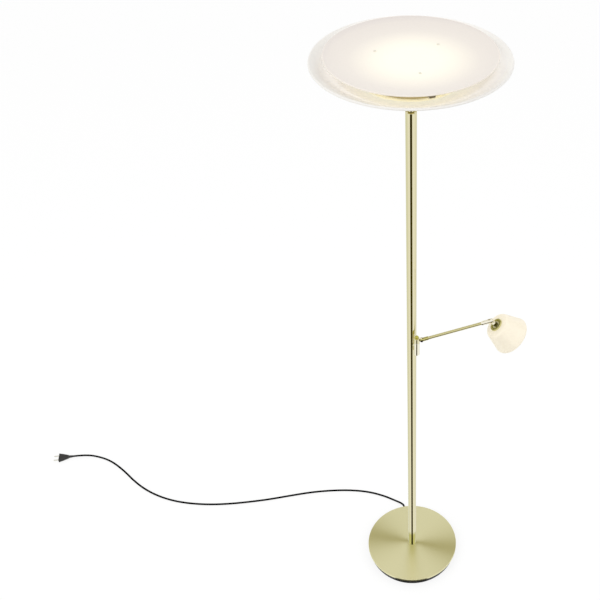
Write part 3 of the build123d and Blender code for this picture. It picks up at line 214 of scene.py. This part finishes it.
def brushed(name, colour, roughness, anisotropy):
    """Metal brushed in circles around the upright axis."""
    surface = Surface(name, colour, 1.0, roughness, Anisotropic=anisotropy, Anisotropic_Rotation=0.25)
    rings = surface.add("ShaderNodeTexNoise", noise_dimensions="1D")
    rings.inputs["Scale"].default_value = 1.0
    rings.inputs["Detail"].default_value = LINE_DETAIL
    surface.link(surface.math("MULTIPLY", surface.radius(), RINGS_SCALE), rings.inputs["W"])
    surface.vary(rings.outputs[0], 0.03, 0.06)
    surface.bump(rings.outputs[0], 0.04, LINE_DEPTH)
    tangent = surface.add("ShaderNodeTangent", direction_type="RADIAL", axis="Z")
    surface.link(tangent.outputs[0], surface.shader.inputs["Tangent"])
    return surface


def plain(name, colour, roughness, metallic=0.0, scale=900, **sockets):
    """A moulded, painted or plated surface with a fine grain."""
    surface = Surface(name, colour, metallic, roughness, **sockets)
    grain = surface.noise(scale)
    surface.vary(grain, 0.07, 0.1)
    surface.bump(grain, 0.08, 0.0002)
    return surface


def cover(surface, *names):
    """Puts a material on nodes of the CAD model."""
    for name in names:
        data = nodes[name].data
        data.materials.clear()
        data.materials.append(surface.material)


# Stem: pale drawn brass, with a deeper yellow at its foot that is a painted reflection of the base
STEM_COLOUR = (0.75, 0.7, 0.47)
FOOT_REFLECTION_COLOUR = (0.5, 0.46, 0.13)
FOOT_LOW = 0.085
FOOT_HIGH = 0.105
STEM_GRAIN = (1, 1, 0.02)
stem_brass = polished("stem_brass", STEM_COLOUR, 0.05, STEM_GRAIN, even=False)
stem_axes = stem_brass.add("ShaderNodeSeparateXYZ")
stem_brass.link(stem_brass.place, stem_axes.inputs[0])
stem_brass.paint(stem_brass.ramp(stem_axes.outputs["Z"], [(FOOT_LOW, FOOT_REFLECTION_COLOUR), (FOOT_HIGH, STEM_COLOUR)]))
cover(stem_brass, "stem_tube", "neck_tube")

# Small brass parts: pale fittings, the darker arm, the deep yellow of the dome and dark pins, whose dark is
# painted shade in the joints
fitting_brass = polished("fitting_brass", (0.78, 0.73, 0.5), 0.06)
pale_brass = polished("pale_brass", (0.9, 0.86, 0.72), 0.02)
arm_brass = polished("arm_brass", (0.62, 0.57, 0.3), 0.2)
fork_brass = polished("fork_brass", (0.57, 0.52, 0.2), 0.2)
dome_brass = polished("dome_brass", (0.52, 0.48, 0.1), 0.15)
joint_shade_brass = polished("joint_shade_brass", (0.12, 0.1, 0.04), 0.15)
cover(fitting_brass, "head_hub", "head_nut", "arm_boss", "swivel_head", "tilt_nut", "stem_top_bush")
cover(pale_brass, "swivel_barrel", "arm_collar")
cover(arm_brass, "arm_rod")
cover(fork_brass, "arm_fork")
cover(dome_brass, "swivel_cap")
cover(joint_shade_brass, "head_pin", "tilt_screw")

# Axis of the reading light
HEAD_HEADING = math.radians(5)
HEAD_DIP = math.radians(45)
HEAD_AXIS = (
    math.cos(HEAD_HEADING) * math.cos(HEAD_DIP),
    math.sin(HEAD_HEADING) * math.cos(HEAD_DIP),
    -math.sin(HEAD_DIP),
)

# Cap of the reading light, about the light's axis: a bright rim, a dull groove darkened as painted shade and
# a pale boss that is a painted highlight
CAP_RADIUS = 0.0175
CAP_RIM_INNER = 0.0149
CAP_BOSS_RADIUS = 0.0095
CAP_BLEND = 0.03
CAP_BOSS_HIGHLIGHT = (0.85, 0.82, 0.68)
CAP_GROOVE_SHADE = (0.42, 0.39, 0.13)
CAP_RIM_COLOUR = (0.66, 0.63, 0.32)
cap_scale = 0.5 / CAP_RADIUS
cap_centre = [(low + high) / 2 for low, high in zip(*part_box("head_cap"))]
cap_brass = polished("cap_brass", CAP_GROOVE_SHADE, 0.2, even=False)
cap_place = cap_brass.math("MULTIPLY", cap_brass.axis_distance(cap_centre, HEAD_AXIS), cap_scale)
cap_brass.paint(cap_brass.ramp(cap_place, [
    (CAP_BOSS_RADIUS * cap_scale, CAP_BOSS_HIGHLIGHT),
    (CAP_BOSS_RADIUS * cap_scale + CAP_BLEND, CAP_GROOVE_SHADE),
    (CAP_RIM_INNER * cap_scale - CAP_BLEND, CAP_GROOVE_SHADE),
    (CAP_RIM_INNER * cap_scale, CAP_RIM_COLOUR),
]))
cover(cap_brass, "head_cap")

# Neck of the reading light: pale, with painted shade where it meets the cap
NECK_COLOUR = (0.9, 0.86, 0.72)
NECK_SHADE_COLOUR = (0.1, 0.09, 0.02)
NECK_SHADE_LENGTH = 0.007
neck_reach = max(v.co.dot(Vector(HEAD_AXIS)) for v in nodes["head_neck"].data.vertices)
neck_brass = polished("neck_brass", NECK_COLOUR, 0.05, even=False)
neck_along = neck_brass.vector_math("DOT_PRODUCT", neck_brass.place, HEAD_AXIS, "Value")
neck_past_start = neck_brass.math("SUBTRACT", neck_along, neck_reach - 2 * NECK_SHADE_LENGTH)
neck_place = neck_brass.math("MULTIPLY", neck_past_start, 0.5 / NECK_SHADE_LENGTH)
neck_brass.paint(neck_brass.ramp(neck_place, [(0.4, NECK_COLOUR), (0.5, NECK_SHADE_COLOUR)]))
cover(neck_brass, "head_neck")

# Brushed brass of the base cover, and of the plate and ring in the dish: the ring's darker brass is painted
# shade under the disc's edge, and the plate's glow is painted light from the light source
cover(brushed("base_brass", (0.8, 0.765, 0.48), 0.34, 0.85), "base_cover")
cover(brushed("ring_brass_painted_shade", (0.5, 0.43, 0.25), 0.4, 0.5), "board_ring")
plate_brass_painted_glow = brushed("plate_brass_painted_glow", (0.92, 0.86, 0.64), 0.35, 0.5)
plate_brass_painted_glow.glow((0.95, 1.0, 0.9), 0.24)
cover(plate_brass_painted_glow, "led_plate")

# Satin opal glass of the dish, with a painted glow that stands for the light source's light and lifts the
# shade under the disc: it fades outwards and is a little stronger at the sides of the disc.
# A stop's place is a radius in metres times the scale.
DISH_SCALE = 4.5
DISH_PAINTED_GLOW_COLOUR = (0.85, 0.87, 0.95)
DISH_CENTRE = (0.004, 0.015, 0)
DISH_PAINTED_GLOW_STOPS = [(0.74, 0.17), (0.8, 0.15), (0.85, 0.115), (0.9, 0.055), (0.97, 0.0)]
SIDE_CENTRE = (0.006, 0, 0)
SIDE_STRETCH = (1, 1.2, 0)
SIDE_PAINTED_GLOW_STOPS = [(0.7, 0.0), (0.765, 0.13), (0.8, 0.12), (0.83, 0.05), (0.86, 0.0)]
dish_glass = Surface("dish_glass", (0.9, 0.88, 0.84), 0.0, 0.3, IOR=1.45, Specular_IOR_Level=0.3)
dish_place = dish_glass.math("MULTIPLY", dish_glass.radius(DISH_CENTRE), DISH_SCALE)
side_place = dish_glass.math("MULTIPLY", dish_glass.radius(SIDE_CENTRE, SIDE_STRETCH), DISH_SCALE)
dish_painted_glow = dish_glass.math(
    "ADD", dish_glass.ramp(dish_place, DISH_PAINTED_GLOW_STOPS), dish_glass.ramp(side_place, SIDE_PAINTED_GLOW_STOPS),
)
dish_glass.glow(DISH_PAINTED_GLOW_COLOUR, dish_painted_glow)
dish_glass.vary(dish_glass.noise(240), 0.015, 0.04)
dish_glass.bump(dish_glass.noise(1800), 0.04, 0.0001)
cover(dish_glass, "glass_dish")

# Glass disc over the light source: a bright core that fades to a warm white, and a pale edge that is a
# painted highlight
DISC_SCALE = 5.0
DISC_LIGHT_COLOUR = (1.0, 0.97, 0.64)
GLOW_CENTRE = (0.006, -0.015, 0)
GLOW_STOPS = [
    (0.25, 0.33), (0.37, 0.275), (0.465, 0.22), (0.565, 0.158), (0.655, 0.105), (0.75, 0.085), (0.85, 0.07),
    (0.91, 0.035), (0.95, 0.0),
]
EDGE_HIGHLIGHT_STOPS = [(0.867, 0.0), (0.873, 0.05)]
disc_glass = Surface("disc_glass", (0.79, 0.73, 0.695), 0.0, 0.25, IOR=1.45)
disc_glass.vary(disc_glass.noise(240), 0.01, 0.04)
disc_place = disc_glass.math("MULTIPLY", disc_glass.radius(GLOW_CENTRE), DISC_SCALE)
edge_place = disc_glass.math("MULTIPLY", disc_glass.radius(), DISC_SCALE)
disc_glow_and_edge_highlight = disc_glass.math(
    "ADD", disc_glass.ramp(disc_place, GLOW_STOPS), disc_glass.ramp(edge_place, EDGE_HIGHLIGHT_STOPS),
)
disc_glass.glow(DISC_LIGHT_COLOUR, disc_glow_and_edge_highlight)
cover(disc_glass, "diffuser_disc")

# Glowing opal glass of the reading light
shade_glass = Surface("shade_glass", (0.9, 0.83, 0.68), 0.0, 0.35, Coat_Weight=0.2, Coat_Roughness=0.25)
shade_glass.vary(shade_glass.noise(120), 0.015, 0.05)
shade_glass.glow(linear("FFF2D6"), 0.12)
cover(shade_glass, "head_shade")
lens_glass = Surface("lens_glass", (0.95, 0.93, 0.88), 0.0, 0.3)
lens_glass.vary(lens_glass.noise(300), 0.01, 0.05)
lens_glass.glow(linear("FFF3DC"), 1.2)
cover(lens_glass, "head_lens")

# Parts of the light sources that give off light
lit_board = plain("lit_board", (0.85, 0.85, 0.83), 0.35)
lit_board.glow(linear("FFF3DC"), 0.4)
cover(lit_board, "led_board")
chip = plain("chip", (0.9, 0.8, 0.45), 0.4)
chip.glow(linear("FFF0D0"), 1.5)
cover(chip, "led_chips", "head_led")

# Everything else
cover(plain("black_paint", (0.012, 0.012, 0.012), 0.5), "base_bottom_plate")
cover(plain("cast_iron", (0.02, 0.02, 0.02), 0.6, scale=400), "base_weight")
cover(plain("black_rubber", (0.015, 0.015, 0.015), 0.7, scale=700), "floor_pad")
cover(plain("black_plastic", (0.018, 0.018, 0.018), 0.4), "strain_relief", "plug_body", "cord_clamp")
cover(plain("brown_plastic", (0.16, 0.13, 0.08), 0.4), "led_connector")
cover(plain("dark_steel", (0.03, 0.028, 0.022), 0.35, 0.8), "neck_set_screw")
cover(
    plain("zinc", (0.55, 0.55, 0.53), 0.35, 1.0),
    "base_plate_screws", "inner_screws", "stem_stud", "stem_washer", "stem_nut", "stem_foot_insert",
    "boss_nut", "boss_stud", "swivel_shaft", "swivel_retainer", "head_nipple",
)
cover(plain("nickel", (0.7, 0.68, 0.62), 0.2, 1.0), "plug_pins")
cover(plain("aluminium", (0.62, 0.62, 0.62), 0.3, 1.0), "diffuser_standoffs", "head_heat_sink")
cover(
    plain("white_plastic", (0.75, 0.75, 0.73), 0.4),
    "led_driver", "terminal_block", "stem_cable", "swivel_washer",
)
cover(plain("white_board", (0.85, 0.85, 0.83), 0.35), "head_led_board")
cover(plain("screw_white", (0.8, 0.77, 0.66), 0.3), "diffuser_screws")
cover(
    plain("silicone", (0.7, 0.7, 0.67), 0.3, Transmission_Weight=0.4), "dish_gaskets", "diffuser_washers",
)
sheath = plain("sheath", (0.002, 0.002, 0.002), 0.7, scale=500, IOR=1.3, Specular_IOR_Level=0.0)
cover(sheath, "inlet_lead", "arm_cable", "cord")

# The polished stem mirrors the studio down to its foot, as in the photograph, and not the base
BASE_MARGIN = 0.001
base_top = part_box("base_cover")[1][2]
for name, node in nodes.items():
    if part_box(name)[1][2] < base_top + BASE_MARGIN:
        node.visible_glossy = False

# Mains lead on the floor, along the route of the CAD model, in metres
CORD_DIAMETER = 0.0065
CORD_ROUTE = [
    (-0.02605, 0.14772, 0.0095),
    (-0.0289, 0.1639, 0.0095),
    (-0.038, 0.1765, 0.0061),
    (-0.062, 0.191, 0.0035),
    (-0.104, 0.212, 0.0033),
    (-0.158, 0.229, 0.0033),
    (-0.222, 0.236, 0.0033),
    (-0.290, 0.2345, 0.0033),
    (-0.360, 0.227, 0.0033),
    (-0.434, 0.212, 0.0033),
    (-0.508, 0.1955, 0.0033),
    (-0.580, 0.184, 0.0033),
    (-0.650, 0.1755, 0.0033),
    (-0.722, 0.1725, 0.0033),
    (-0.790, 0.1775, 0.0033),
    (-0.850, 0.189, 0.0033),
    (-0.908, 0.210, 0.0033),
    (-0.962, 0.240, 0.0033),
    (-1.010, 0.278, 0.0033),
    (-1.056, 0.3235, 0.0033),
    (-1.112, 0.368, 0.0033),
    (-1.163, 0.3895, 0.0035),
    (-1.215, 0.3965, 0.0069),
    (-1.262, 0.389, 0.0069),
]
cord_curve = bpy.data.curves.new("mains_lead", "CURVE")
cord_curve.dimensions = "3D"
cord_curve.resolution_u = 16
cord_curve.bevel_depth = CORD_DIAMETER / 2
cord_curve.bevel_resolution = 5
cord_line = cord_curve.splines.new("NURBS")
cord_line.points.add(len(CORD_ROUTE) - 1)
for point, place in zip(cord_line.points, CORD_ROUTE):
    point.co = (*place, 1)
cord_line.order_u = 3
cord_line.use_endpoint_u = True
cord_curve.materials.append(sheath.material)
mains_lead = bpy.data.objects.new("mains_lead", cord_curve)
bpy.context.scene.collection.objects.link(mains_lead)
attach(mains_lead, "stand")
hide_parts("cord")


# Stage: a plain floor that is white to the camera, and shows polished metal a soft studio around it
def stage_plane(name, half_side):
    """A square on the ground that is no part of the object."""
    data = bpy.data.meshes.new(name)
    corners = [(x * half_side, y * half_side, 0) for x, y in ((-1, -1), (1, -1), (1, 1), (-1, 1))]
    data.from_pydata(corners, [], [(0, 1, 2, 3)])
    plane = bpy.data.objects.new(name, data)
    bpy.context.scene.collection.objects.link(plane)
    return plane


FLOOR_HALF_SIDE = 15
FLOOR_WHITE = 1.08
FLOOR_WHITE_SHARE = 0.75
floor = stage_plane("floor", FLOOR_HALF_SIDE)
floor_look = Surface("floor_look", (0.86, 0.86, 0.86), 0.0, 0.9)
paths = floor_look.add("ShaderNodeLightPath")
white = floor_look.add("ShaderNodeEmission")
white.inputs["Color"].default_value = (1, 1, 1, 1)
white.inputs["Strength"].default_value = FLOOR_WHITE

# The studio that polished metal sees in the floor, by bearing: a dark stripe on the side of -Y
SIDE_GREY = (0.9, 0.9, 0.85)
STRIPE = (0.05, 0.04, 0.0)
STUDIO_BANDS = [
    (0.0, SIDE_GREY), (0.22, (0.84, 0.86, 0.74)), (0.34, 1.0), (0.430, 1.06), (0.436, STRIPE),
    (0.557, STRIPE), (0.563, 1.06), (0.66, 1.04), (0.78, (0.92, 0.92, 0.88)), (1.0, SIDE_GREY),
]
studio = floor_look.add("ShaderNodeEmission")
split = floor_look.add("ShaderNodeSeparateXYZ")
floor_look.link(floor_look.place, split.inputs[0])
bearing = floor_look.math("ARCTAN2", split.outputs["X"], floor_look.math("MULTIPLY", split.outputs["Y"], -1))
bearing_place = floor_look.math("MULTIPLY_ADD", bearing, 0.5 / math.pi, 0.5)
floor_look.link(floor_look.ramp(bearing_place, STUDIO_BANDS), studio.inputs["Color"])


def mix_shaders(tree, factor, first, second):
    """Shows the second shader where the factor is 1, and the first elsewhere."""
    mix = tree.nodes.new("ShaderNodeMixShader")
    for socket, source in zip(mix.inputs, (factor, first, second)):
        tree.links.new(source, socket)
    return mix.outputs[0]


straight_ray = floor_look.math(
    "MAXIMUM", paths.outputs["Is Camera Ray"], paths.outputs["Is Transmission Ray"],
)
white_share = floor_look.math("MULTIPLY", straight_ray, FLOOR_WHITE_SHARE)
seen_white = mix_shaders(floor_look.tree, white_share, floor_look.shader.outputs[0], white.outputs[0])
seen_glossy = mix_shaders(floor_look.tree, paths.outputs["Is Glossy Ray"], seen_white, studio.outputs[0])
floor_look.link(seen_glossy, floor_look.output.inputs["Surface"])
floor.data.materials.append(floor_look.material)

# World: even white light, white behind the object, and for reflections a studio with an olive band behind
BAND_BEARING = math.radians(11)
BAND_PLACE = 0.55
BAND_HALF_WIDTH = 0.05
BAND_EDGE = 0.05
BAND_COLOUR = (0.3, 0.26, 0.05)
STUDIO = (1.0, 1.0, 1.0)
LIGHT_STRENGTH = 0.8
BACKDROP_STRENGTH = 1.0
world = bpy.data.worlds.new("studio")
world.use_nodes = True
bpy.context.scene.world = world
world_tree = world.node_tree
world_tree.nodes.clear()


def background(strength):
    """Adds an even white background shader."""
    node = world_tree.nodes.new("ShaderNodeBackground")
    node.inputs["Color"].default_value = (*STUDIO, 1)
    node.inputs["Strength"].default_value = strength
    return node


direction = world_tree.nodes.new("ShaderNodeTexCoord")
backward = world_tree.nodes.new("ShaderNodeVectorMath")
backward.operation = "DOT_PRODUCT"
backward.inputs[1].default_value = (math.sin(BAND_BEARING), math.cos(BAND_BEARING), 0)
world_tree.links.new(direction.outputs["Generated"], backward.inputs[0])
band = world_tree.nodes.new("ShaderNodeValToRGB")
fill_ramp(band.color_ramp, [
    (BAND_PLACE - BAND_HALF_WIDTH - BAND_EDGE, STUDIO),
    (BAND_PLACE - BAND_HALF_WIDTH, BAND_COLOUR),
    (BAND_PLACE + BAND_HALF_WIDTH, BAND_COLOUR),
    (BAND_PLACE + BAND_HALF_WIDTH + BAND_EDGE, STUDIO),
])
world_tree.links.new(backward.outputs["Value"], band.inputs[0])
reflected = background(BACKDROP_STRENGTH)
world_tree.links.new(band.outputs[0], reflected.inputs["Color"])
rays = world_tree.nodes.new("ShaderNodeLightPath")
plain_light = mix_shaders(
    world_tree, rays.outputs["Is Camera Ray"],
    background(LIGHT_STRENGTH).outputs[0], background(BACKDROP_STRENGTH).outputs[0],
)
seen = mix_shaders(world_tree, rays.outputs["Is Glossy Ray"], plain_light, reflected.outputs[0])
world_tree.links.new(seen, world_tree.nodes.new("ShaderNodeOutputWorld").inputs["Surface"])

# Soft studio lamps
LAMP_TARGET = (0, 0, 0.9)


def area_lamp(name, location, size, power):
    """A square lamp that points at the middle of the object and isn't mirrored in it."""
    data = bpy.data.lights.new(name, "AREA")
    data.shape = "SQUARE"
    data.size = size
    data.energy = power
    lamp = bpy.data.objects.new(name, data)
    lamp.location = location
    aim_x, aim_y, aim_z = (t - p for t, p in zip(LAMP_TARGET, location))
    lamp.rotation_euler = (
        math.atan2(math.hypot(aim_x, aim_y), -aim_z), 0, math.atan2(aim_y, aim_x) - math.pi / 2,
    )
    lamp.visible_glossy = False
    bpy.context.scene.collection.objects.link(lamp)


area_lamp("key", (-2.2, -1.6, 3.6), 2.2, 28)
area_lamp("fill", (2.6, -0.8, 2.8), 2.0, 12)

bpy.context.scene.view_settings.view_transform = "Standard"
